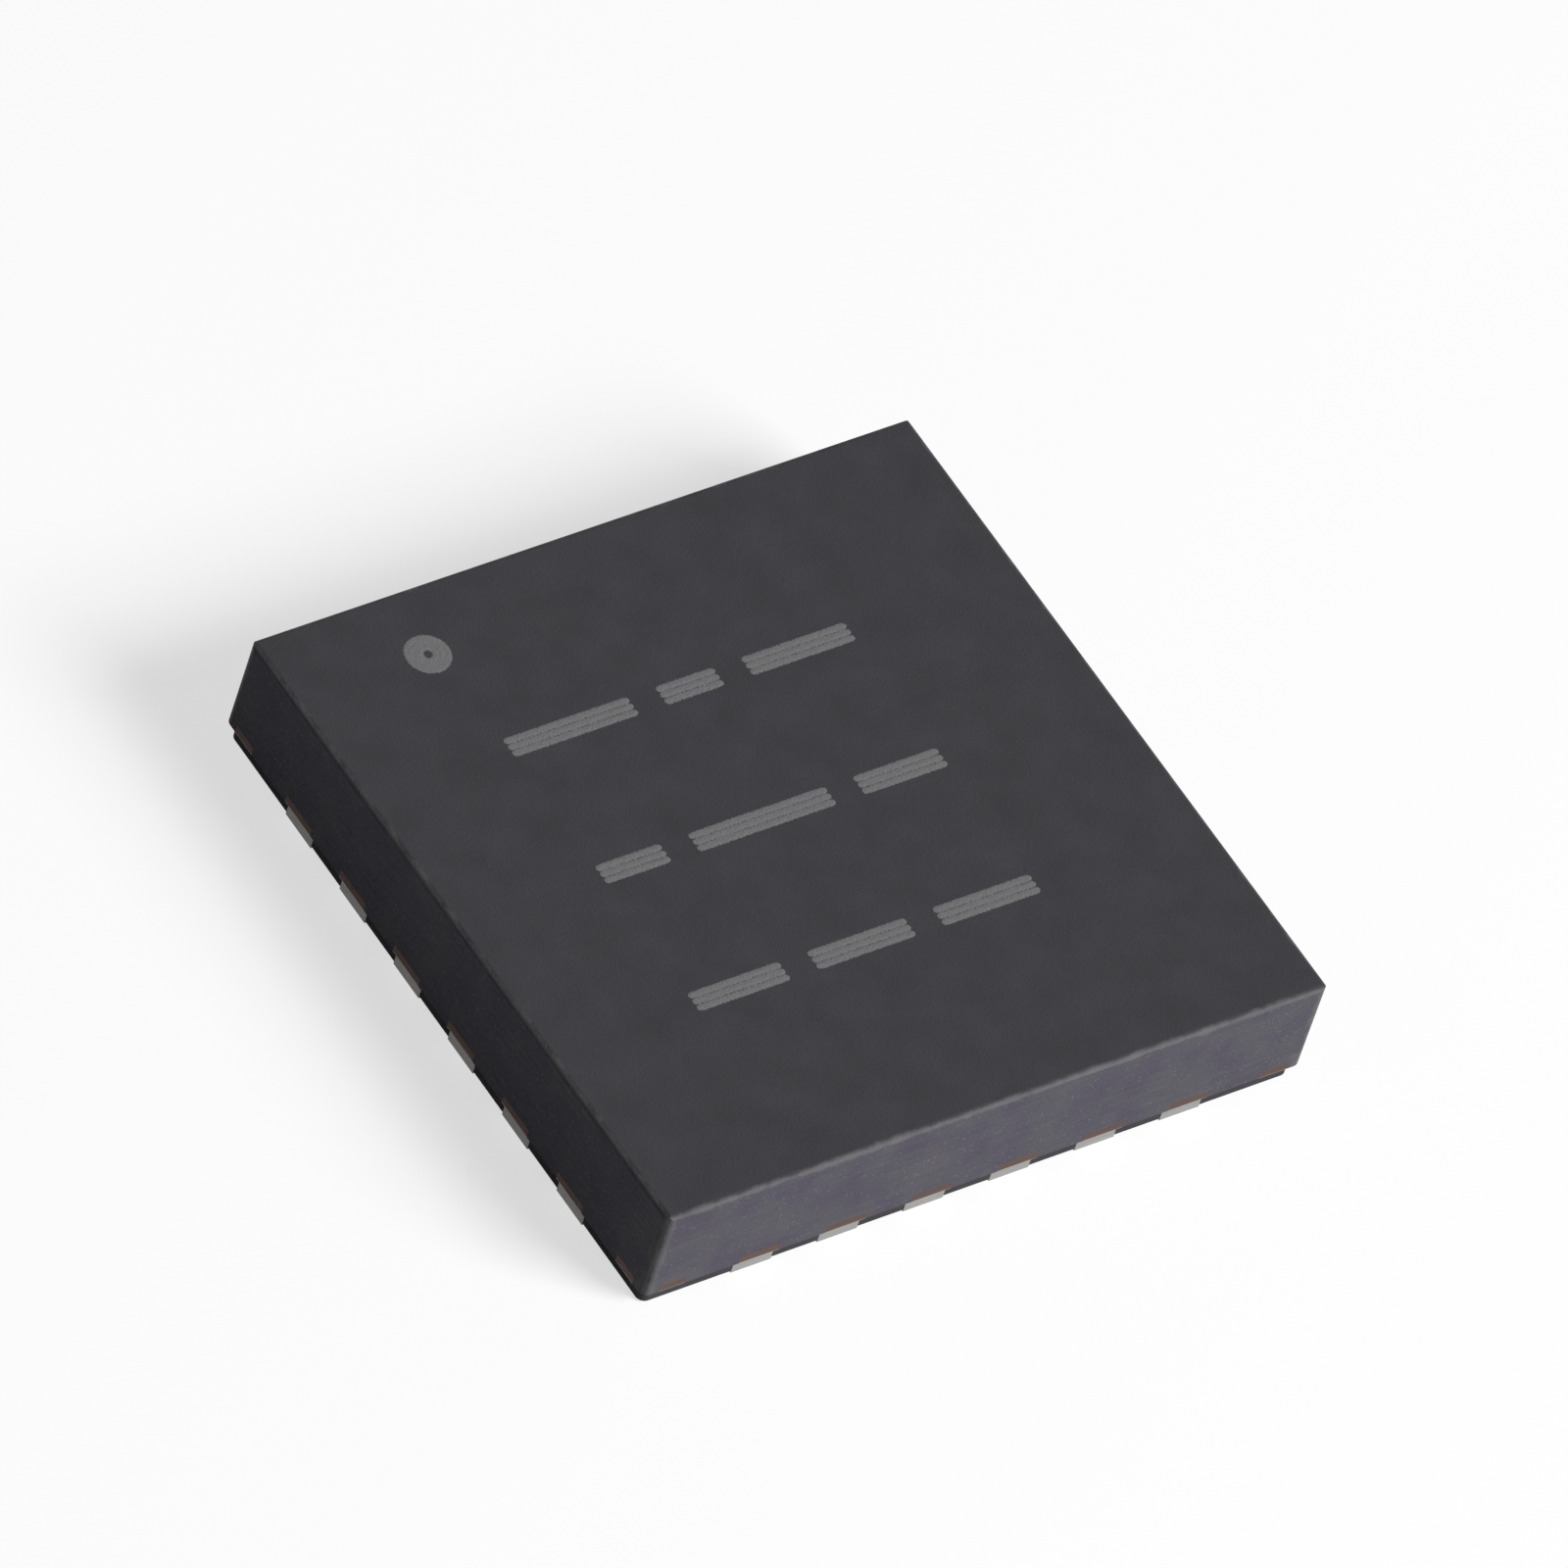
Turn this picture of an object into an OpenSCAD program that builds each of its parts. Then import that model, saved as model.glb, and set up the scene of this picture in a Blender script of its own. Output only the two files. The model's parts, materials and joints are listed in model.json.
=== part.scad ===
// Sensor interface chip in a flat square leadless package: a moulded body on a sawn copper leadframe,
// with solder terminals along its four sides, an exposed pad below and a wired silicon die inside.
// Sizes are in millimetres. The origin is the middle of the seating plane, with +Z up and +X along
// the marking on the top face. Terminal 1 is at the -X, +Y corner, and the numbers run
// counter-clockwise from there, as seen from above.

/* [Body] */
// Length of the body along X
body_l = 5.00; // [4.5:0.05:6]
// Width of the body along Y
body_w = 5.00; // [4.5:0.05:6]
// Height of the top face above the seating plane
body_h = 0.90; // [0.8:0.01:1.2]
// Height of the moulded underside above the seating plane
standoff = 0.02; // [0.01:0.005:0.05]
// Radius of the edge round the top face
top_edge_r = 0.04; // [0.01:0.005:0.06]
// Radius of the upright corners
corner_r = 0.06; // [0.02:0.01:0.1]

/* [Saw step] */
// Height of the step sawn round the foot of the sides
step_h = 0.14; // [0.11:0.005:0.17]
// Depth of the step
step_d = 0.04; // [0.02:0.005:0.06]

/* [Leadframe] */
// Thickness of the copper
frame_t = 0.20; // [0.18:0.01:0.25]
// Height of the half-etched undersides above the seating plane
etch_h = 0.10; // [0.07:0.01:0.12]

/* [Terminals] */
// Number of terminals on each side
pins_per_side = 6; // [3:1:6]
// Distance between neighbouring terminals
pitch = 0.65; // [0.5:0.01:0.7]
// Width of a terminal's foot
foot_w = 0.30; // [0.2:0.01:0.36]
// Length of a foot, in from the side of the body
foot_l = 0.40; // [0.3:0.01:0.5]
// Overhang of the bond land past each long edge of the foot
land_lip = 0.05; // [0.02:0.01:0.08]
// Reach of the bond land past the inner end of the foot
land_reach = 0.10; // [0.04:0.01:0.14]
// Distance of the land's lips from the side of the body
land_setback = 0.12; // [0.06:0.01:0.18]

/* [Exposed pad] */
// Gap between the bond lands and the paddle's lip
pad_gap = 0.20; // [0.12:0.01:0.4]
// Overhang of the paddle's lip past the pad, above the half etch
pad_lip = 0.10; // [0.05:0.01:0.14]
// Chamfer on the pad's corner beside terminal 1
pad_chamfer = 0.35; // [0.2:0.05:0.5]

/* [Tie bars] */
// Width of the bar from each corner of the paddle
tie_w = 0.15; // [0.1:0.01:0.2]
// Width of the two prongs that the bar forks into
prong_w = 0.20; // [0.12:0.01:0.24]
// Distance of a prong's middle from the side that it runs beside
prong_inset = 0.22; // [0.2:0.01:0.3]

/* [Die] */
// Length of the die along X
die_l = 2.30; // [1.8:0.05:2.6]
// Width of the die along Y
die_w = 2.10; // [1.8:0.05:2.6]
// Thickness of the die
die_t = 0.25; // [0.15:0.01:0.3]
// Thickness of the adhesive under the die
attach_t = 0.03; // [0.015:0.005:0.05]
// Spread of the adhesive past the die's edges
attach_spread = 0.05; // [0.02:0.01:0.1]

/* [Bond wires] */
// Diameter of a wire
wire_d = 0.025; // [0.018:0.001:0.033]
// Diameter of the ball that bonds a wire to the die
ball_d = 0.07; // [0.055:0.005:0.085]
// Height of the ball
ball_h = 0.02; // [0.012:0.002:0.03]
// Distance of the balls from the die's edge
ball_inset = 0.09; // [0.06:0.01:0.12]
// Distance of a row's first and last balls from the die's corners
row_inset = 0.20; // [0.16:0.01:0.3]
// Height of the loop's crown above the die
loop_h = 0.15; // [0.12:0.01:0.2]
// Radius of the wire's bend at the crown
bend_r = 0.07; // [0.05:0.01:0.09]
// Distance of the stitch from the inner end of its land
stitch_inset = 0.14; // [0.1:0.01:0.2]
// Width of the wire where it is pressed flat at the stitch
stitch_w = 0.04; // [0.03:0.005:0.05]

/* [Hidden] */
$fn = 32;
// Sides of the body, and how far the leadframe's blanks run past the saw line
side_count = 4;
saw_margin = 0.10;
// Flats round a wire, rings along its bend, and the part of a circle that the ball's side bulges through
wire_sides = 8;
bend_rings = 6;
ball_bulge = 40;

pin_count = side_count * pins_per_side;
land_w = foot_w + 2 * land_lip;
land_l = foot_l + land_reach;
row_half = (pins_per_side - 1) / 2 * pitch;
pad_l = body_l - 2 * (land_l + pad_gap + pad_lip);
pad_w = body_w - 2 * (land_l + pad_gap + pad_lip);
attach_top = frame_t + attach_t;
die_top = attach_top + die_t;

function numbered(stem) = [for (pin = [1:pin_count]) str(stem, pin < 10 ? "_0" : "_", pin)];
terminal_names = numbered("terminal");
wire_names = numbered("bond_wire");

// The side that a pin is on, counted from -X, its place in the row from the middle,
// and the angle that turns +X towards that side
function side_of(pin) = floor((pin - 1) / pins_per_side);
function place_of(pin) = (pin - 1) % pins_per_side - (pins_per_side - 1) / 2;
function side_turn(pin) = 180 + 90 * side_of(pin);
function along_x(pin) = side_of(pin) % 2 == 0;

// Distance from the middle to the side of the body that a pin is on
function reach(pin) = (along_x(pin) ? body_l : body_w) / 2;

// Plan of the body with its rounded corners, drawn in by an inset
module body_plan(inset) {
    l = body_l - 2 * inset;
    w = body_w - 2 * inset;
    square([l - 2 * corner_r, w], center = true);
    square([l, w - 2 * corner_r], center = true);
    for (x = [-1, 1], y = [-1, 1])
        translate([x * (l / 2 - corner_r), y * (w / 2 - corner_r)])
            circle(corner_r);
}

// What the saws leave standing: the body's plan, drawn in below the step
module sawn_block() {
    translate([0, 0, -saw_margin])
        linear_extrude(body_h + 2 * saw_margin)
            body_plan(step_d);
    translate([0, 0, step_h])
        linear_extrude(body_h)
            body_plan(0);
}

// Upright section across the body, with its two top edges rounded
module body_section(span) {
    translate([-span / 2, standoff])
        square([span, body_h - standoff - top_edge_r]);
    translate([top_edge_r - span / 2, standoff])
        square([span - 2 * top_edge_r, body_h - standoff]);
    for (x = [-1, 1])
        translate([x * (span / 2 - top_edge_r), body_h - top_edge_r])
            circle(top_edge_r);
}

// The moulded block before anything is set into it
module mould_blank() {
    intersection() {
        sawn_block();
        rotate([90, 0, 0])
            linear_extrude(body_w + 2 * saw_margin, center = true)
                body_section(body_l);
        rotate([90, 0, 90])
            linear_extrude(body_l + 2 * saw_margin, center = true)
                body_section(body_w);
    }
}

// A strip along +X from a round inner end to a square outer end
module round_strip(inner, outer, width) {
    translate([inner + width / 2, 0])
        circle(width / 2);
    translate([inner + width / 2, -width / 2])
        square([outer - inner - width / 2, width]);
}

// A terminal: a foot of full thickness that the saw cuts off at the side, under a wider bond land
module terminal(pin) {
    side = reach(pin);
    color("#a8a4a4")
        intersection() {
            sawn_block();
            rotate(side_turn(pin))
                translate([0, place_of(pin) * pitch]) {
                    linear_extrude(frame_t)
                        round_strip(side - foot_l, side + saw_margin, foot_w);
                    translate([0, 0, etch_h])
                        linear_extrude(frame_t - etch_h)
                            round_strip(side - land_l, side - land_setback, land_w);
                }
        }
}

// Plan of the pad, grown on all sides, with its corner beside terminal 1 cut off
module pad_plan(grow) {
    x = pad_l / 2 + grow;
    y = pad_w / 2 + grow;
    cut = pad_chamfer + grow * (2 - sqrt(2));
    polygon([[-x, -y], [x, -y], [x, y], [cut - x, y], [-x, y - cut]]);
}

// Half the width of a tie bar, square to its run from one point to another
function bar_side(from, to) = [from.y - to.y, to.x - from.x] / norm(to - from) * tie_w / 2;

// Plan of the tie bar to the corner at +X, +Y: from within the pad, midway between the round ends
// of the two corner lands, to a fork whose prongs reach both sides
module tie_bar_plan() {
    land_end = land_l - land_w / 2;
    start = [pad_l / 2 - pad_chamfer, pad_w / 2 - pad_chamfer];
    midway = [body_l / 2 - land_end + row_half, body_w / 2 - land_end + row_half] / 2;
    fork = [body_l / 2 - prong_inset, body_w / 2 - prong_inset];
    near = bar_side(start, midway);
    far = bar_side(midway, fork);
    mitre = (near + far) / (1 + near * far / (near * near));
    polygon([start + near, midway + mitre, fork + far, fork - far, midway - mitre, start - near]);
    translate([fork.x - prong_w / 2, fork.y - prong_w / 2]) {
        square([prong_w, prong_inset + prong_w / 2 + saw_margin]);
        square([prong_inset + prong_w / 2 + saw_margin, prong_w]);
    }
}

// The paddle that carries the die: the exposed pad below, and the lip and tie bars above the half etch
module die_paddle() {
    color("#b4a9a3")
        intersection() {
            sawn_block();
            union() {
                linear_extrude(frame_t)
                    pad_plan(0);
                translate([0, 0, etch_h])
                    linear_extrude(frame_t - etch_h) {
                        pad_plan(pad_lip);
                        for (x = [0, 1], y = [0, 1])
                            mirror([x, 0])
                                mirror([0, y])
                                    tie_bar_plan();
                    }
            }
        }
}

module die_attach() {
    color("#9d9a92")
        translate([0, 0, frame_t])
            linear_extrude(attach_t)
                square([die_l + 2 * attach_spread, die_w + 2 * attach_spread], center = true);
}

module silicon_die() {
    color("#5c6270")
        translate([0, 0, attach_top])
            linear_extrude(die_t)
                square([die_l, die_w], center = true);
}

// Plan point turned about the middle
function turned(p, angle) = [p.x * cos(angle) - p.y * sin(angle), p.x * sin(angle) + p.y * cos(angle)];

// Plan points of a wire's two ends: its ball near the edge of the die and its stitch on the land
function ball_at(pin) =
    let (edge = (along_x(pin) ? die_l : die_w) / 2,
         row = (along_x(pin) ? die_w : die_l) - 2 * row_inset)
    turned([edge - ball_inset, place_of(pin) * row / (pins_per_side - 1)], side_turn(pin));
function stitch_at(pin) = turned([reach(pin) - land_l + stitch_inset, place_of(pin) * pitch], side_turn(pin));

// Ring in a wire's own upright plane, as [distance, height, tilt, radius in the plane, radius across it]
function level_ring(height, radius) = [0, height, 0, radius, radius];

// Rings of a wire that spans a distance: the ball, a straight neck, one bend over the crown,
// and a straight run, tangent to the bend, down to the stitch
function wire_rings(span) =
    let (r = wire_d / 2,
         hub = [bend_r, die_top + loop_h - bend_r],
         to_stitch = [span, frame_t] - hub,
         turn = 180 - atan2(to_stitch.y, to_stitch.x) - acos(bend_r / norm(to_stitch)),
         drop = turn - 90)
    concat(
        [for (t = [-1:1]) level_ring(die_top + ball_h * (1 + t) / 2, ball_d / 2 * cos(ball_bulge * t))],
        [level_ring(die_top + ball_h, r)],
        [for (i = [0:bend_rings - 1])
            let (a = turn * i / (bend_rings - 1))
            [hub.x - bend_r * cos(a), hub.y + bend_r * sin(a), -a, r, r]],
        [[span, frame_t, -180, r / sin(drop), stitch_w / 2]]);

// Points of one ring, placed from the ball in the plan direction of the wire
function ring_points(ring, start, way) =
    [for (k = [0:wire_sides - 1])
        let (a = 360 * k / wire_sides,
             in_plane = ring[3] * cos(a),
             across = ring[4] * sin(a),
             ahead = ring[0] + in_plane * cos(ring[2]))
        [start.x + way.x * ahead - way.y * across,
         start.y + way.y * ahead + way.x * across,
         ring[1] + in_plane * sin(ring[2])]];

// A bond wire: one skin of triangles over its rings, closed at the ball's foot and at the stitch
module bond_wire(pin) {
    start = ball_at(pin);
    span = norm(stitch_at(pin) - start);
    way = (stitch_at(pin) - start) / span;
    rings = wire_rings(span);
    n = wire_sides;
    last = (len(rings) - 1) * n;
    points = [for (ring = rings) each ring_points(ring, start, way)];
    skin = [for (low = [0:n:last - n], k = [0:n - 1])
        let (next = (k + 1) % n)
        each [[low + k, low + n + k, low + n + next], [low + k, low + n + next, low + next]]];
    foot = [for (k = [1:n - 2]) [0, k, k + 1]];
    stitch = [for (k = [1:n - 2]) [last, last + k + 1, last + k]];
    color("#d8b25a")
        polyhedron(points, concat(skin, foot, stitch));
}

// The moulded body: the block with every other piece set into it
module moulded_body() {
    color("#424144")
        difference() {
            mould_blank();
            die_paddle();
            die_attach();
            silicon_die();
            for (pin = [1:pin_count]) {
                terminal(pin);
                bond_wire(pin);
            }
        }
}

moulded_body();
die_paddle();
die_attach();
silicon_die();
for (pin = [1:pin_count]) {
    terminal(pin);
    bond_wire(pin);
}
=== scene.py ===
"""Looks of a sensor interface chip: finishes for its moulded body, plated terminals and inner pieces,
the laser marks on its top face, and the pale floor, lamps and camera that show it."""
import json
import math

import bpy
import numpy as np
from mathutils import Matrix, Vector

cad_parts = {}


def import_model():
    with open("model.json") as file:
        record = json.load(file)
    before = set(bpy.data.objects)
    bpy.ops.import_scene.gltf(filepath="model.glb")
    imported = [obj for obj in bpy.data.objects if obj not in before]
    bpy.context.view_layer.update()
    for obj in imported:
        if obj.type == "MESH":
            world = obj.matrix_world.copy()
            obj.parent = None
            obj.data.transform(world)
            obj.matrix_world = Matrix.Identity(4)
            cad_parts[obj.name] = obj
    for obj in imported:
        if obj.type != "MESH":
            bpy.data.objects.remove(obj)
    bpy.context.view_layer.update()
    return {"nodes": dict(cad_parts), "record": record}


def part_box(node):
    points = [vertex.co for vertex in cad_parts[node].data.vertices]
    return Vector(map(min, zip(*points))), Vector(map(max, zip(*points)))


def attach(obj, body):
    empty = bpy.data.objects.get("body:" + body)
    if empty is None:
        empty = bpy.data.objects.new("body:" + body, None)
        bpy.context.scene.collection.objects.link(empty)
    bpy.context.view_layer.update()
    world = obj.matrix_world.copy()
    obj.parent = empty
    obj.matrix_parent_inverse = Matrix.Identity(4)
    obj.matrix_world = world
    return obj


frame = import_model()

# Lengths are in metres, and MM turns a size in millimetres into one
MM = 0.001

# Body: half its length, half its width and the height of its top face
BODY_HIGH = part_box("moulded_body")[1]
HALF_LENGTH = BODY_HIGH.x
HALF_WIDTH = BODY_HIGH.y
TOP = BODY_HIGH.z

# Lead frame: depth and top of the saw step at the foot of the sides, and how far the feet stand proud
STEP_DEPTH = 0.04 * MM
STEP_TOP = 0.14 * MM
STANDOFF = 0.02 * MM
# Lands of the terminals: their top, and how far from the middle of the part their silver begins
FIRST_LAND_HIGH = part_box("terminal_01")[1]
LAND_TOP = FIRST_LAND_HIGH.z
SILVER_START = -FIRST_LAND_HIGH.x - 0.01 * MM

# Die: its upper corner
DIE_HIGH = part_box("silicon_die")[1]
# Bond pads: their size, how far a row is from its edge and its end pads from the corners, and their number
BOND_PAD = 0.10 * MM
BOND_PAD_INSET = 0.09 * MM
BOND_PAD_END = 0.20 * MM
BOND_PADS = 6

# Laser trace: its width with the faded rim, height of its frosted crown and how far its rim sinks
TRACE = 0.075 * MM
CROWN = 0.0030 * MM
SINK = 0.0012 * MM
# Mesh of a trace: points across it, and spacing of the points along a straight one
TRACE_POINTS = 9
TRACE_STEP = 0.005 * MM
# Blank bars of traces: their left end, middle of the first row and step between rows
BAR_LEFT = -1.42 * MM
BAR_FIRST_ROW = 1.13 * MM
BAR_ROW_STEP = 1.10 * MM
# Blank bars of traces: their lengths in each row, the gap between them, and their traces and the spacing
BAR_LENGTHS = np.array([(0.95, 0.45, 0.80), (0.50, 1.05, 0.65), (0.70, 0.75, 0.75)]) * MM
BAR_GAP = 0.20 * MM
BAR_TRACES = 3
BAR_SPACING = 0.052 * MM
# Mark beside terminal 1: its middle, and inner and outer radius, turns and points of its spiral
PIN_ONE_AT = (-1.49 * MM, 1.98 * MM)
PIN_ONE_RADII = (0.055 * MM, 0.130 * MM)
PIN_ONE_TURNS = 4.0
PIN_ONE_POINTS = 320

# Sawn surfaces: how deep their look reaches, and length of the saw marks along a side
SAWN_DEPTH = 0.004 * MM
MARK_LENGTH = 0.9 * MM
# Sawn surfaces: spacing of the marks up a side, in resin and in metal
RESIN_MARKS = 0.016 * MM
METAL_MARKS = 0.008 * MM

# Resin: its colours as moulded, as sawn in two patchy tints, in chips that are painted paler as a highlight
# along the sawn edges, and in grains of cut filler
MOULDED_RESIN = (0.0480, 0.0464, 0.0520, 1.0)
SAWN_RESIN = (0.092, 0.085, 0.113, 1.0)
SAWN_RESIN_GREY = (0.096, 0.092, 0.106, 1.0)
# Pale colour of the chips, which also serves as a painted highlight on the top edges and a painted glint on
# the upright corners
CHIPPED_RESIN_AND_HIGHLIGHT = (0.130, 0.129, 0.137, 1.0)
CUT_FILLER = (0.135, 0.130, 0.148, 1.0)
# Resin: sizes of its grain and filler, depth of its relief, specular level and range of roughness
RESIN_GRAIN = 0.022 * MM
FILLER_GRAIN = 0.024 * MM
RESIN_RELIEF = 0.0035 * MM
RESIN_SPECULAR = 0.12
RESIN_ROUGHNESS = (0.58, 0.80)
# Resin: ranges of its tone over fine grain, mottling and scratches
FINE_TONES = (0.82, 1.18)
MOTTLE_TONES = (0.78, 1.22)
SCRATCH_TONES = (0.78, 1.22)
# Resin: range of the mottling over which one sawn tint turns into the other
TINT_EDGE = (0.35, 0.65)

# Chips in the sawn edges, which also carry a painted highlight along the top and a painted glint down the
# upright corners: their length, least and greatest depth, and how much deeper they are at corners
CHIP_AND_HIGHLIGHT_LENGTH = 0.18 * MM
CHIP_AND_HIGHLIGHT_DEPTHS = (0.006 * MM, 0.12 * MM)
CORNER_CHIPS_AND_GLINT = 3.0
# Chips and painted highlight in the sawn edges: ranges over which they begin, of height along the top and of
# nearness to a corner
CHIPPED_AND_HIGHLIT_RIM = (TOP - 0.005 * MM, TOP + 0.015 * MM)
CHIPPED_AND_GLINTING_CORNER = (0.0, 0.6)

# Lead frame: darkest and palest colours of its tin, copper and silver
FOOT_TIN = ((0.46, 0.455, 0.45, 1.0), (0.62, 0.615, 0.61, 1.0))
STEP_TIN = ((0.23, 0.225, 0.22, 1.0), (0.45, 0.44, 0.43, 1.0))
SAWN_COPPER = ((0.080, 0.052, 0.045, 1.0), (0.165, 0.107, 0.090, 1.0))
CLEAN_COPPER = ((0.60, 0.31, 0.21, 1.0), (0.74, 0.41, 0.29, 1.0))
LAND_SILVER = ((0.72, 0.71, 0.68, 1.0), (0.86, 0.85, 0.82, 1.0))
# Lead frame: heights below which the feet are tinned, and over which the step ends and the lands' tops begin
FOOT_LIMIT = 1.05 * STANDOFF
STEP_LIMIT = (1.01 * STEP_TOP, 1.04 * STEP_TOP)
LAND_LIMIT = (0.98 * LAND_TOP, 0.99 * LAND_TOP)
# Lead frame: range of nearness to a side over which the step's tin begins
FLANK_EDGE = (0.35, 0.5)
# Lead frame: size of its crystals, depth of its relief, range of roughness and what the step adds to that
TIN_CRYSTAL = 0.010 * MM
TIN_RELIEF = 0.0015 * MM
TIN_ROUGHNESS = (0.52, 0.80)
STEP_ROUGHER = 0.15
# Lead frame: how metallic it is where it is clean and where it is tarnished
TARNISH = (1.0, 0.6)

# Laser ash: its darkest and palest colour, and the spots in a trace width
LASER_ASH = ((0.135, 0.134, 0.138, 1.0), (0.22, 0.218, 0.225, 1.0))
ASH_SPOTS = 2.5
# Laser ash: range of its reach towards the rim, what a spot adds to that, and range over which it fades
ASH_REACH = (0.45, 1.0)
ASH_SPOT_REACH = 0.25
ASH_FADE = (-0.1, 0.28)

# Adhesive: colours of its resin and its flakes, and how metallic they are
ADHESIVE = ((0.36, 0.35, 0.32, 1.0), (0.62, 0.61, 0.58, 1.0))
ADHESIVE_METAL = (0.25, 0.9)
# Adhesive: sizes of its flakes and lumps, and depth of its relief
FLAKE = 0.010 * MM
ADHESIVE_LUMP = 0.014 * MM
ADHESIVE_RELIEF = 0.003 * MM

# Silicon: colours of its sawn sides, of the circuit's blocks, gaps and lines, and of the bond pads
SAWN_SILICON = (0.13, 0.13, 0.145, 1.0)
CIRCUIT_BLOCKS = ((0.07, 0.085, 0.13, 1.0), (0.16, 0.12, 0.19, 1.0))
CIRCUIT_GAP = (0.05, 0.05, 0.07, 1.0)
CIRCUIT_LINE = (0.34, 0.30, 0.25, 1.0)
PAD_METAL = (0.78, 0.78, 0.77, 1.0)
# Silicon: how far the lines cover the blocks, and depth of the circuit
LINE_COVER = 0.5
CIRCUIT_DEPTH = 0.001 * MM
# Silicon: how metallic the circuit and the pads are, and roughness of the sides and of the top
CIRCUIT_METAL = (0.3, 1.0)
SILICON_ROUGHNESS = (0.5, 0.22)

# Gold: its darkest and palest colour, size of its grain and depth of its relief
GOLD = ((0.78, 0.52, 0.17, 1.0), (0.94, 0.68, 0.27, 1.0))
GOLD_GRAIN = 0.004 * MM
GOLD_RELIEF = 0.0006 * MM

# Floor: half its side, its tone in reflections and its tone to light that bounces off it
FLOOR_HALF = 250.0 * MM
FLOOR_TONE = 0.92
FLOOR_BOUNCE = 0.16
# Floor: strength and share of the glow that makes it white to the eye
FLOOR_GLOW = 1.09
FLOOR_GLOW_SHARE = 0.6
# World: strength of its light on the part, and of its white where it is seen
WORLD_STRENGTHS = (0.08, 1.0)

# Camera of the photograph: degrees round the part, above it and of roll about the line of sight
VIEW_AZIMUTH = -46.92
VIEW_ELEVATION = 47.59
VIEW_ROLL = 19.21
# Camera of the photograph: the point it aims at, its distance, and the nearest and farthest that it sees
VIEW_AIM = Vector((0.360, 0.472, 0.498)) * MM
VIEW_DISTANCE = 184.0 * MM
VIEW_NEAR = 10.0 * MM
VIEW_FAR = 2000.0 * MM
# Camera of the photograph: its focal length and the width of its sensor, in millimetres
VIEW_LENS = 675.0
VIEW_SENSOR = 36.0


# Shader building


def fill(tree, socket, value):
    """An input socket gets a value, or a link from another socket."""
    if isinstance(value, bpy.types.NodeSocket):
        tree.links.new(value, socket)
    else:
        socket.default_value = value


def put(tree, kind, inputs=None, **options):
    """A new shader node with its options set and its inputs filled."""
    made = tree.nodes.new("ShaderNode" + kind)
    for key, value in options.items():
        setattr(made, key, value)
    for key, value in (inputs or {}).items():
        fill(tree, made.inputs[key], value)
    return made


def maths(tree, operation, *values):
    """Output of a Math node over values or sockets."""
    return put(tree, "Math", dict(enumerate(values)), operation=operation).outputs[0]


def inverse(tree, value):
    """1 minus a value."""
    return maths(tree, "SUBTRACT", 1.0, value)


def spread(tree, value, low, high):
    """A value that runs over 0 to 1, carried evenly to the range from low to high."""
    return put(tree, "MapRange", {"Value": value, "To Min": low, "To Max": high}).outputs["Result"]


def rise(tree, value, low, high):
    """A smooth step from 0 at low to 1 at high."""
    inputs = {"Value": value, "From Min": low, "From Max": high}
    return put(tree, "MapRange", inputs, interpolation_type="SMOOTHSTEP").outputs["Result"]


def mix_colours(tree, factor, first, second, **options):
    """Result of a Mix node over two colours, whose sockets come after those for numbers and vectors."""
    inputs = {0: factor, 6: first, 7: second}
    return put(tree, "Mix", inputs, data_type="RGBA", **options).outputs[2]


def between(tree, factor, first, second):
    """Colour that goes from first to second as the factor goes from 0 to 1."""
    return mix_colours(tree, factor, first, second)


def shade(tree, colour, tone):
    """Colour multiplied by a grey tone."""
    return mix_colours(tree, 1.0, colour, tone, blend_type="MULTIPLY")


def noise(tree, vector, size, detail=2.0, roughness=0.5):
    """Noise whose features are about size across, in the units of the vector."""
    inputs = {"Vector": vector, "Scale": 1.0 / size, "Detail": detail, "Roughness": roughness}
    return put(tree, "TexNoise", inputs).outputs["Fac"]


def bump(tree, height, depth):
    """Normal of a surface whose height of 0 to 1 stands for a depth in metres."""
    return put(tree, "Bump", {"Height": height, "Distance": depth}).outputs["Normal"]


def axes(tree, vector):
    """The X, Y and Z of a vector."""
    return put(tree, "SeparateXYZ", {"Vector": vector}).outputs


def new_group(name, inputs, outputs):
    """An empty shader group with its input and output sockets: inputs are (name, default), and a
    default of None makes a vector socket; outputs are names of values."""
    tree = bpy.data.node_groups.new(name, "ShaderNodeTree")
    for label, default in inputs:
        kind = "NodeSocketVector" if default is None else "NodeSocketFloat"
        socket = tree.interface.new_socket(label, in_out="INPUT", socket_type=kind)
        if default is not None:
            socket.default_value = default
    for label in outputs:
        tree.interface.new_socket(label, in_out="OUTPUT", socket_type="NodeSocketFloat")
    return tree, tree.nodes.new("NodeGroupInput").outputs, tree.nodes.new("NodeGroupOutput").inputs


def use(tree, group, **inputs):
    """Outputs of a group placed in a material with its own values or links."""
    return put(tree, "Group", inputs, node_tree=group).outputs


def empty_tree(owner):
    """The node tree of a material or a world, emptied."""
    owner.use_nodes = True
    owner.node_tree.nodes.clear()
    return owner.node_tree


# Shared effects


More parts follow.
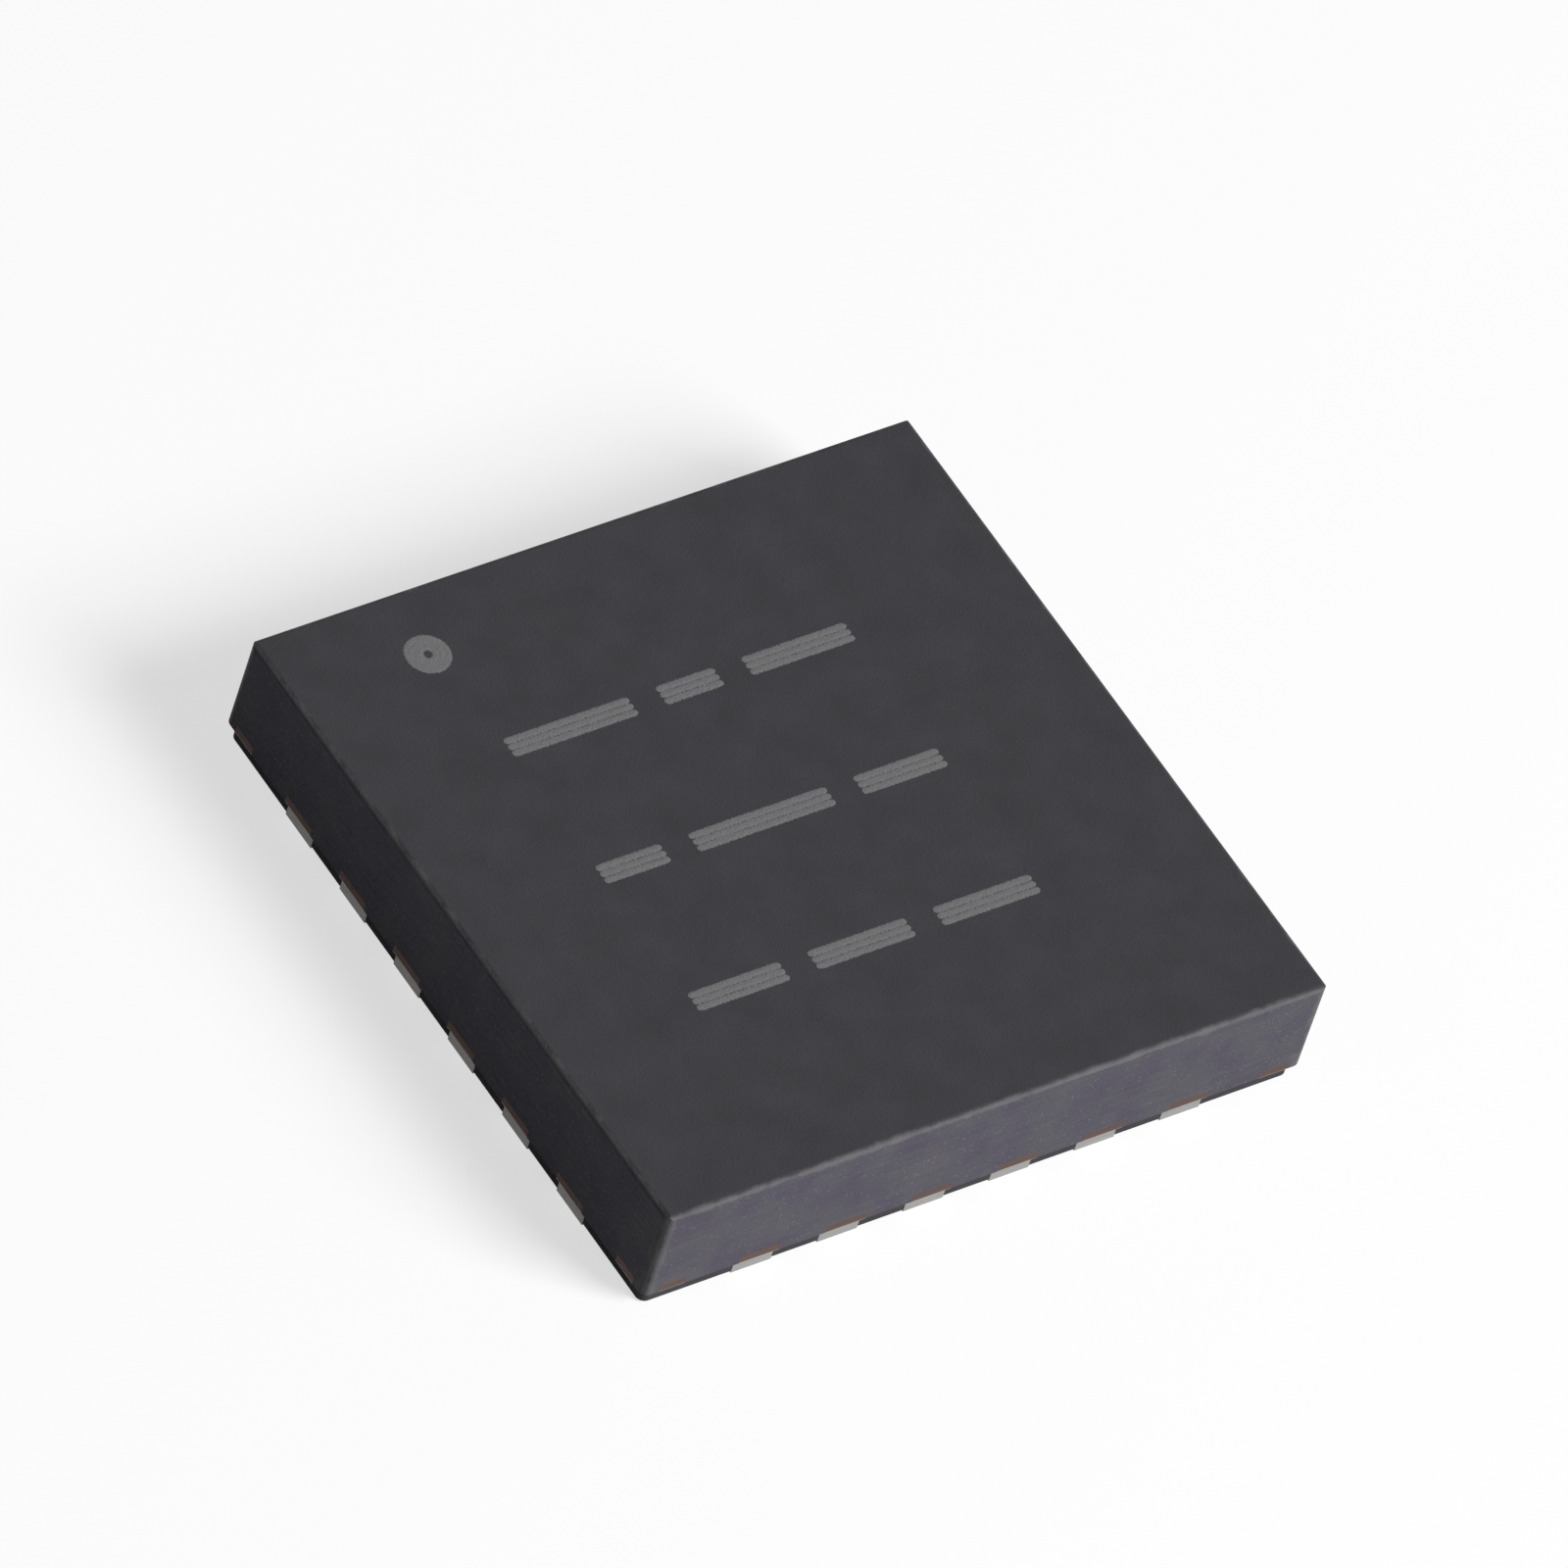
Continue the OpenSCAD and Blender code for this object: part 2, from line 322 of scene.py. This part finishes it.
def sawn_side_group():
    """Place on the body's sawn sides: Side is 1 on a side and fades over Depth from it, Corner is 1
    where two sides meet and fades likewise, Along runs along the side and Height up it."""
    inputs = [("Place", None), ("Depth", SAWN_DEPTH)]
    tree, given, out = new_group("sawn side", inputs, ["Side", "Corner", "Along", "Height"])
    at = axes(tree, given["Place"])
    from_x = maths(tree, "SUBTRACT", HALF_LENGTH, maths(tree, "ABSOLUTE", at["X"]))
    from_y = maths(tree, "SUBTRACT", HALF_WIDTH, maths(tree, "ABSOLUTE", at["Y"]))
    for nearest, name in (("MINIMUM", "Side"), ("MAXIMUM", "Corner")):
        share = maths(tree, "DIVIDE", maths(tree, nearest, from_x, from_y), given["Depth"])
        tree.links.new(inverse(tree, rise(tree, share, 0.0, 1.0)), out[name])
    tree.links.new(maths(tree, "ADD", at["X"], at["Y"]), out["Along"])
    tree.links.new(at["Z"], out["Height"])
    return tree


def saw_marks_group():
    """Level scratches of a dicing blade: noise drawn out along the side and close-set up its height."""
    inputs = [("Along", 0.0), ("Height", 0.0), ("Spacing", RESIN_MARKS)]
    tree, given, out = new_group("saw marks", inputs, ["Marks"])
    stretched = put(tree, "CombineXYZ", {
        "X": maths(tree, "DIVIDE", given["Along"], MARK_LENGTH),
        "Y": maths(tree, "DIVIDE", given["Height"], given["Spacing"])}).outputs[0]
    tree.links.new(noise(tree, stretched, 1.0, detail=3.0), out["Marks"])
    return tree


def in_grains(tree, given):
    """The group's Place counted in grains of its Size."""
    count = maths(tree, "DIVIDE", 1.0, given["Size"])
    return put(tree, "VectorMath", {0: given["Place"], "Scale": count}, operation="SCALE").outputs[0]


def grain_group():
    """Grain of a size: Fine is noise, Cells are round grains or crystals, and Mottle is slow and patchy."""
    inputs = [("Place", None), ("Size", RESIN_GRAIN)]
    tree, given, out = new_group("grain", inputs, ["Fine", "Cells", "Mottle"])
    fine_size = 0.7
    mottle_size = 14.0
    grains = in_grains(tree, given)
    cells = put(tree, "TexVoronoi", {"Vector": grains, "Scale": 1.0}, feature="SMOOTH_F1")
    tree.links.new(noise(tree, grains, fine_size, detail=3.0, roughness=0.6), out["Fine"])
    tree.links.new(cells.outputs["Distance"], out["Cells"])
    tree.links.new(noise(tree, grains, mottle_size, detail=3.0), out["Mottle"])
    return tree


def filler_group():
    """Round grains of filler, or flakes, cut at the surface: Specks is 1 inside one and fades over its
    rim. They differ in size, and few are as large as the largest."""
    tree, given, out = new_group("filler", [("Place", None), ("Size", FILLER_GRAIN)], ["Specks"])
    largest = 0.5
    rim = 0.12
    cells = put(tree, "TexVoronoi", {"Vector": in_grains(tree, given), "Scale": 1.0}).outputs
    chance = put(tree, "SeparateColor", {"Color": cells["Color"]}).outputs["Red"]
    radius = maths(tree, "MULTIPLY", maths(tree, "POWER", chance, 3.0), largest)
    depth = maths(tree, "SUBTRACT", radius, cells["Distance"])
    tree.links.new(rise(tree, depth, 0.0, rim), out["Specks"])
    return tree


def moulded_tone_group():
    """Faint tone of the moulded resin about 1, from its fine grain and its mottling."""
    tree, given, out = new_group("moulded tone", [("Fine", 0.5), ("Mottle", 0.5)], ["Tone"])
    fine = spread(tree, given["Fine"], *FINE_TONES)
    mottle = spread(tree, given["Mottle"], *MOTTLE_TONES)
    tree.links.new(maths(tree, "MULTIPLY", fine, mottle), out["Tone"])
    return tree


SAWN_SIDE = sawn_side_group()
SAW_MARKS = saw_marks_group()
GRAIN = grain_group()
FILLER = filler_group()
MOULDED_TONE = moulded_tone_group()


# Finishes


def new_material(name):
    """A material with one Principled shader: the material, its tree, the shader and Object coordinates."""
    made = bpy.data.materials.new(name)
    tree = empty_tree(made)
    shader = put(tree, "BsdfPrincipled")
    tree.links.new(shader.outputs[0], put(tree, "OutputMaterial").inputs["Surface"])
    return made, tree, shader, put(tree, "TexCoord").outputs["Object"]


def give(tree, shader, **inputs):
    """Inputs of the shader, with _ for a space in their names, as values or sockets."""
    for key, value in inputs.items():
        fill(tree, shader.inputs[key.replace("_", " ")], value)


def chipped_and_highlit_edges(tree, place, height, depth):
    """1 where chips of a depth break the sawn edges, which are painted paler there as a highlight: along the
    top and, as a painted glint, down the upright corners.
    """
    along_top = rise(tree, maths(tree, "ADD", height, depth), *CHIPPED_AND_HIGHLIT_RIM)
    corner_depth = maths(tree, "MULTIPLY", depth, CORNER_CHIPS_AND_GLINT)
    corner = use(tree, SAWN_SIDE, Place=place, Depth=corner_depth)["Corner"]
    return maths(tree, "MAXIMUM", along_top, rise(tree, corner, *CHIPPED_AND_GLINTING_CORNER))


def mould_compound():
    """Dark epoxy: matt and faintly mottled where it was moulded, paler with scratches and cut filler
    where it was sawn, and chipped unevenly along the sawn edges, whose paler chips also paint a highlight
    along the top edges and a glint down the upright corners."""
    made, tree, shader, place = new_material("mould compound finish")
    uneven = maths(tree, "POWER", noise(tree, place, CHIP_AND_HIGHLIGHT_LENGTH, detail=4.0, roughness=0.6), 2.0)
    depth = spread(tree, uneven, *CHIP_AND_HIGHLIGHT_DEPTHS)
    side = use(tree, SAWN_SIDE, Place=place, Depth=depth)
    # Mask of the chips, and of the painted highlight and glint along the sawn edges
    chips_and_highlight = chipped_and_highlit_edges(tree, place, side["Height"], depth)
    marks = use(tree, SAW_MARKS, Along=side["Along"], Height=side["Height"])["Marks"]
    grain = use(tree, GRAIN, Place=place, Size=RESIN_GRAIN)
    specks = use(tree, FILLER, Place=place, Size=FILLER_GRAIN)["Specks"]
    tone = use(tree, MOULDED_TONE, Fine=grain["Fine"], Mottle=grain["Mottle"])["Tone"]
    sawn = between(tree, rise(tree, grain["Mottle"], *TINT_EDGE), SAWN_RESIN, SAWN_RESIN_GREY)
    sawn = between(tree, specks, sawn, CUT_FILLER)
    sawn = shade(tree, sawn, spread(tree, marks, *SCRATCH_TONES))
    # Chips, paler than the sawn resin, also paint a highlight along the top edges and a glint down the
    # upright corners
    sawn = between(tree, chips_and_highlight, sawn, CHIPPED_RESIN_AND_HIGHLIGHT)
    colour = between(tree, side["Side"], MOULDED_RESIN, sawn)
    scratched = maths(tree, "MULTIPLY", marks, side["Side"])
    give(tree, shader, Base_Color=shade(tree, colour, tone), Specular_IOR_Level=RESIN_SPECULAR,
         Roughness=spread(tree, grain["Fine"], *RESIN_ROUGHNESS),
         Normal=bump(tree, maths(tree, "ADD", grain["Fine"], scratched), RESIN_RELIEF))
    return made


def bonding_spots(tree, place, height):
    """1 on the tops of the lands, where the wires are bonded."""
    at = axes(tree, put(tree, "VectorMath", {0: place}, operation="ABSOLUTE").outputs[0])
    from_middle = maths(tree, "MAXIMUM", at["X"], at["Y"])
    on_land = maths(tree, "GREATER_THAN", from_middle, SILVER_START)
    return maths(tree, "MULTIPLY", on_land, rise(tree, height, *LAND_LIMIT))


def plated_copper():
    """Copper lead frame. Its feet and the step at the foot of the sides have matt tin in fine crystals,
    duller on the step. The sawn ends above the step are bare and tarnished. Inside the body it is clean
    copper, with silver on the lands where the wires are bonded."""
    made, tree, shader, place = new_material("plated copper finish")
    end = use(tree, SAWN_SIDE, Place=place)
    height = end["Height"]
    step = use(tree, SAWN_SIDE, Place=place, Depth=2.0 * STEP_DEPTH)["Side"]
    marks = use(tree, SAW_MARKS, Along=end["Along"], Height=height, Spacing=METAL_MARKS)["Marks"]
    grain = use(tree, GRAIN, Place=place, Size=TIN_CRYSTAL)
    flank = rise(tree, step, *FLANK_EDGE)
    above_step = rise(tree, height, *STEP_LIMIT)
    on_step = maths(tree, "MULTIPLY", flank, inverse(tree, above_step))
    tinned = maths(tree, "MAXIMUM", maths(tree, "LESS_THAN", height, FOOT_LIMIT), on_step)
    bare = maths(tree, "MULTIPLY", end["Side"], above_step)
    tin = between(tree, flank, between(tree, grain["Fine"], *FOOT_TIN), between(tree, marks, *STEP_TIN))
    clean = between(tree, grain["Fine"], *CLEAN_COPPER)
    silver = between(tree, grain["Fine"], *LAND_SILVER)
    inside = between(tree, bonding_spots(tree, place, height), clean, silver)
    colour = between(tree, tinned, inside, tin)
    colour = between(tree, bare, colour, between(tree, marks, *SAWN_COPPER))
    rough = maths(tree, "ADD", spread(tree, grain["Mottle"], *TIN_ROUGHNESS),
                  maths(tree, "MULTIPLY", flank, STEP_ROUGHER))
    relief = between(tree, step, grain["Cells"], marks)
    give(tree, shader, Base_Color=colour, Metallic=spread(tree, bare, *TARNISH), Roughness=rough,
         Normal=bump(tree, relief, TIN_RELIEF))
    return made


def laser_ash():
    """Pale frosted trace of a laser in the resin: rows of spots, with a broken rim that fades to plain
    resin. The first coordinate of its map runs along the trace in trace widths, the second from 0 to 1
    across it."""
    made, tree, shader, place = new_material("laser ash finish")
    grain = use(tree, GRAIN, Place=place, Size=RESIN_GRAIN)
    tone = use(tree, MOULDED_TONE, Fine=grain["Fine"], Mottle=grain["Mottle"])["Tone"]
    at = axes(tree, put(tree, "TexCoord").outputs["UV"])
    across = maths(tree, "SUBTRACT", maths(tree, "MULTIPLY", at["Y"], 2.0), 1.0)
    from_middle = maths(tree, "ABSOLUTE", across)
    spots = maths(tree, "PINGPONG", maths(tree, "MULTIPLY", at["X"], ASH_SPOTS), 0.5)
    reach = maths(tree, "ADD", spread(tree, grain["Fine"], *ASH_REACH),
                  maths(tree, "MULTIPLY", spots, ASH_SPOT_REACH))
    burnt = rise(tree, maths(tree, "SUBTRACT", reach, from_middle), *ASH_FADE)
    resin = shade(tree, MOULDED_RESIN, tone)
    ash = between(tree, grain["Fine"], *LASER_ASH)
    give(tree, shader, Base_Color=between(tree, burnt, resin, ash), Roughness=0.85,
         Specular_IOR_Level=RESIN_SPECULAR, Normal=bump(tree, grain["Fine"], RESIN_RELIEF))
    return made


def silver_epoxy():
    """Cured adhesive full of silver flakes."""
    made, tree, shader, place = new_material("silver epoxy finish")
    flakes = use(tree, FILLER, Place=place, Size=FLAKE)["Specks"]
    grain = use(tree, GRAIN, Place=place, Size=ADHESIVE_LUMP)
    give(tree, shader, Base_Color=between(tree, flakes, *ADHESIVE), Roughness=0.45,
         Metallic=spread(tree, flakes, *ADHESIVE_METAL),
         Normal=bump(tree, grain["Cells"], ADHESIVE_RELIEF))
    return made


def pad_row(tree, along, across, half_along, half_across):
    """1 on the bond pads along the two edges of the die at half_across from its middle."""
    first = half_along - BOND_PAD_END
    pitch = 2.0 * first / (BOND_PADS - 1)
    row = half_across - BOND_PAD_INSET
    from_pad = maths(tree, "PINGPONG", maths(tree, "ADD", along, first), pitch / 2)
    from_row = maths(tree, "ABSOLUTE", maths(tree, "SUBTRACT", maths(tree, "ABSOLUTE", across), row))
    square = maths(tree, "LESS_THAN", maths(tree, "MAXIMUM", from_pad, from_row), BOND_PAD / 2)
    in_row = maths(tree, "LESS_THAN", maths(tree, "ABSOLUTE", along), first + BOND_PAD)
    return maths(tree, "MULTIPLY", square, in_row)


def circuit(tree, place):
    """Colour of the die's circuit: blocks in two tints with gaps between, under close metal lines. The
    widths, heights and gaps of both are in millimetres."""
    blocks = put(tree, "TexBrick", {
        "Vector": place, "Scale": 1.0 / MM, "Color1": CIRCUIT_BLOCKS[0], "Color2": CIRCUIT_BLOCKS[1],
        "Mortar": CIRCUIT_GAP, "Mortar Size": 0.008, "Brick Width": 0.43, "Row Height": 0.27},
        offset=0.37, squash=0.6, squash_frequency=3).outputs["Color"]
    lines = put(tree, "TexBrick", {
        "Vector": place, "Scale": 1.0 / MM, "Mortar Size": 0.004, "Brick Width": 0.11,
        "Row Height": 0.024}, offset=0.63).outputs["Fac"]
    return between(tree, maths(tree, "MULTIPLY", lines, LINE_COVER), blocks, CIRCUIT_LINE)


def silicon():
    """Polished silicon. Its top face has a circuit and a row of bright bond pads along each edge, and
    its sides are plain sawn silicon."""
    made, tree, shader, place = new_material("silicon finish")
    at = axes(tree, place)
    pads = maths(tree, "MAXIMUM", pad_row(tree, at["X"], at["Y"], DIE_HIGH.x, DIE_HIGH.y),
                 pad_row(tree, at["Y"], at["X"], DIE_HIGH.y, DIE_HIGH.x))
    top = maths(tree, "GREATER_THAN", at["Z"], DIE_HIGH.z - CIRCUIT_DEPTH)
    face = between(tree, pads, circuit(tree, place), PAD_METAL)
    metal = maths(tree, "MULTIPLY", top, spread(tree, pads, *CIRCUIT_METAL))
    give(tree, shader, Base_Color=between(tree, top, SAWN_SILICON, face), Metallic=metal,
         Roughness=spread(tree, top, *SILICON_ROUGHNESS))
    return made


def gold_wire():
    """Bright drawn gold with a faint grain."""
    made, tree, shader, place = new_material("gold wire finish")
    grain = use(tree, GRAIN, Place=place, Size=GOLD_GRAIN)
    give(tree, shader, Base_Color=between(tree, grain["Fine"], *GOLD), Metallic=1.0, Roughness=0.25,
         Normal=bump(tree, grain["Fine"], GOLD_RELIEF))
    return made


def dress_nodes():
    """Every CAD node gets the finish of its material slot."""
    finishes = {"mould_compound": mould_compound(), "plated_copper": plated_copper(),
                "silver_epoxy": silver_epoxy(), "silicon": silicon(), "gold_wire": gold_wire()}
    slots = {row["node"]: row["material_slot"] for row in frame["record"]["subparts"]}
    for name, node in frame["nodes"].items():
        node.material_slots[0].material = finishes[slots[name]]


# Laser marks


def new_object(name, data):
    """An object of the scene, at the origin."""
    made = bpy.data.objects.new(name, data)
    bpy.context.scene.collection.objects.link(made)
    return made


def trace_along(path):
    """Points, quads and map of a laser trace on the top face. Its profile is a low arch over s from -1
    to 1, height = CROWN (1 - s squared) - SINK, carried along a plan path. Both the arch and its half
    width are scaled by a round cap, the square root of 1 - (1 - d) squared, d half widths from an end."""
    step = np.linalg.norm(np.diff(path, axis=0), axis=1)
    run = np.concatenate([[0.0], np.cumsum(step)]) / (TRACE / 2)
    blunt_end = 0.02
    from_end = np.clip(np.minimum(run, run[-1] - run), blunt_end, 1.0)
    cap = np.sqrt(1.0 - (1.0 - from_end) ** 2)
    tangent = np.gradient(path, axis=0)
    tangent /= np.linalg.norm(tangent, axis=1, keepdims=True)
    square = np.stack([-tangent[:, 1], tangent[:, 0]], axis=1)
    s = np.linspace(-1.0, 1.0, TRACE_POINTS)
    reach = cap[:, None] * s * TRACE / 2
    plan = path[:, None, :] + square[:, None, :] * reach[:, :, None]
    height = TOP + CROWN * cap[:, None] * (1.0 - s ** 2) - SINK
    points = np.concatenate([plan, height[:, :, None]], axis=2).reshape(-1, 3)
    rows = np.arange(len(path) - 1)[:, None] * len(s)
    corner = rows + np.arange(len(s) - 1)
    quads = np.stack([corner, corner + len(s), corner + len(s) + 1, corner + 1], axis=2).reshape(-1, 4)
    along = np.broadcast_to(run[:, None] / 2, reach.shape)
    across = np.broadcast_to((s + 1.0) / 2, reach.shape)
    return points, quads, np.stack([along, across], axis=2).reshape(-1, 2)


def line_path(left, right, y):
    """Plan of a straight trace, with points close enough for its round ends."""
    x = np.linspace(left, right, 2 + int((right - left) / TRACE_STEP))
    return np.stack([x, np.full_like(x, y)], axis=1)


def spiral_path():
    """Plan of the mark beside terminal 1: a spiral whose radius stays for a turn, grows evenly with its
    angle and stays for a last turn."""
    turn = np.linspace(0.0, PIN_ONE_TURNS, PIN_ONE_POINTS)
    inner, outer = PIN_ONE_RADII
    radius = inner + (outer - inner) * np.clip((turn - 1.0) / (PIN_ONE_TURNS - 2.0), 0.0, 1.0)
    angle = 2.0 * np.pi * turn
    return np.array(PIN_ONE_AT) + np.stack([np.cos(angle), np.sin(angle)], axis=1) * radius[:, None]


def bar_paths(row, lengths):
    """Plans of the traces in one row of blank bars."""
    from_middle = (np.arange(BAR_TRACES) - (BAR_TRACES - 1) / 2) * BAR_SPACING
    lines = from_middle + BAR_FIRST_ROW - row * BAR_ROW_STEP
    starts = BAR_LEFT + np.cumsum(lengths + BAR_GAP) - lengths - BAR_GAP
    return [line_path(start, start + length, y) for start, length in zip(starts, lengths) for y in lines]


def mark_piece(name, paths, material):
    """One smooth mesh of laser traces that rides on the part."""
    points, quads, maps = zip(*[trace_along(path) for path in paths])
    first = np.cumsum([0] + [len(part) for part in points[:-1]])
    corners = np.concatenate([part + start for part, start in zip(quads, first)])
    mesh = bpy.data.meshes.new(name)
    mesh.from_pydata(np.concatenate(points), [], corners)
    mesh.polygons.foreach_set("use_smooth", np.ones(len(corners), bool))
    trace_map = mesh.uv_layers.new(name="trace")
    trace_map.uv.foreach_set("vector", np.concatenate(maps)[corners.ravel()].ravel())
    mesh.materials.append(material)
    mesh.update()
    piece = new_object(name, mesh)
    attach(piece, "root")


def laser_marks():
    """Three rows of blank bars, and the spiral beside terminal 1."""
    ash = laser_ash()
    for row, lengths in enumerate(BAR_LENGTHS):
        mark_piece(f"mark_row_{row + 1}", bar_paths(row, lengths), ash)
    mark_piece("pin_one_mark", [spiral_path()], ash)


# Stage


def grey(level):
    """A neutral colour."""
    return (level, level, level, 1.0)


def mix_shaders(tree, factor, first, second):
    """Shader that goes from first to second as the factor goes from 0 to 1."""
    return put(tree, "MixShader", {0: factor, 1: first, 2: second}).outputs[0]


def seen_rays(tree):
    """1 for rays that show the background: camera, glossy and transmission rays."""
    ray = put(tree, "LightPath").outputs
    seen = maths(tree, "MAXIMUM", ray["Is Camera Ray"], ray["Is Glossy Ray"])
    return maths(tree, "MAXIMUM", seen, ray["Is Transmission Ray"])


def floor_finish():
    """White to the eye, pale in reflections and grey to the light that bounces off it, with the shadow
    kept. It is see-through from below, and lets the light of the lamps under it through."""
    made = bpy.data.materials.new("floor")
    tree = empty_tree(made)
    ray = put(tree, "LightPath").outputs
    pale = put(tree, "BsdfDiffuse", {"Color": grey(FLOOR_TONE)}).outputs[0]
    glow = put(tree, "Emission", {"Color": grey(1.0), "Strength": FLOOR_GLOW}).outputs[0]
    bounce = put(tree, "BsdfDiffuse", {"Color": grey(FLOOR_BOUNCE)}).outputs[0]
    clear = put(tree, "BsdfTransparent").outputs[0]
    to_eye = mix_shaders(tree, FLOOR_GLOW_SHARE, pale, glow)
    to_others = mix_shaders(tree, seen_rays(tree), bounce, pale)
    front = mix_shaders(tree, ray["Is Camera Ray"], to_others, to_eye)
    from_below = put(tree, "NewGeometry").outputs["Backfacing"]
    let_through = maths(tree, "MAXIMUM", from_below, ray["Is Shadow Ray"])
    both = mix_shaders(tree, let_through, front, clear)
    tree.links.new(both, put(tree, "OutputMaterial").inputs["Surface"])
    return made


def floor():
    """Square floor under the part."""
    corners = np.array([(-1, -1, 0), (1, -1, 0), (1, 1, 0), (-1, 1, 0)]) * FLOOR_HALF
    mesh = bpy.data.meshes.new("floor")
    mesh.from_pydata(corners, [], [(0, 1, 2, 3)])
    mesh.materials.append(floor_finish())
    piece = new_object("floor", mesh)


def world():
    """Even soft light, white where the background shows."""
    made = bpy.data.worlds.new("studio")
    bpy.context.scene.world = made
    tree = empty_tree(made)
    strength = spread(tree, seen_rays(tree), *WORLD_STRENGTHS)
    light = put(tree, "Background", {"Color": grey(1.0), "Strength": strength})
    tree.links.new(light.outputs[0], put(tree, "OutputWorld").inputs["Surface"])


def lamp(name, direction, distance, size, level):
    """Square area lamp that shines at the part from a direction. A level of 1 shows a face that is
    square to the light about as its colour is written."""
    data = bpy.data.lights.new(name, "AREA")
    data.size = size
    data.energy = level * (math.pi * distance) ** 2
    towards = Vector(direction).normalized()
    made = new_object(name, data)
    made.location = towards * distance
    made.rotation_mode = "QUATERNION"
    made.rotation_quaternion = towards.to_track_quat("Z", "Y")


def camera():
    """Camera of the photograph, from its azimuth, elevation and roll about the line of sight."""
    data = bpy.data.cameras.new("camera")
    data.lens = VIEW_LENS
    data.sensor_width = VIEW_SENSOR
    data.clip_start = VIEW_NEAR
    data.clip_end = VIEW_FAR
    azimuth = math.radians(VIEW_AZIMUTH)
    elevation = math.radians(VIEW_ELEVATION)
    roll = math.radians(VIEW_ROLL)
    level = math.cos(elevation)
    back = Vector((math.sin(azimuth) * level, -math.cos(azimuth) * level, math.sin(elevation)))
    side = Vector((math.cos(azimuth), math.sin(azimuth), 0.0))
    right = math.cos(roll) * side + math.sin(roll) * back.cross(side)
    made = new_object("camera", data)
    made.matrix_world = Matrix((right, back.cross(right), back)).transposed().to_4x4()
    made.location = VIEW_AIM + back * VIEW_DISTANCE
    bpy.context.scene.camera = made


dress_nodes()
laser_marks()
floor()
world()
lamp("key", direction=(0.5, -0.8, 0.7), distance=200.0 * MM, size=100.0 * MM, level=1.43)
lamp("below", direction=(0.0, 0.0, -1.0), distance=200.0 * MM, size=60.0 * MM, level=0.5)
lamp("behind", direction=(0.0, 1.0, -0.2), distance=200.0 * MM, size=60.0 * MM, level=0.4)
camera()
bpy.context.scene.view_settings.view_transform = "Standard"
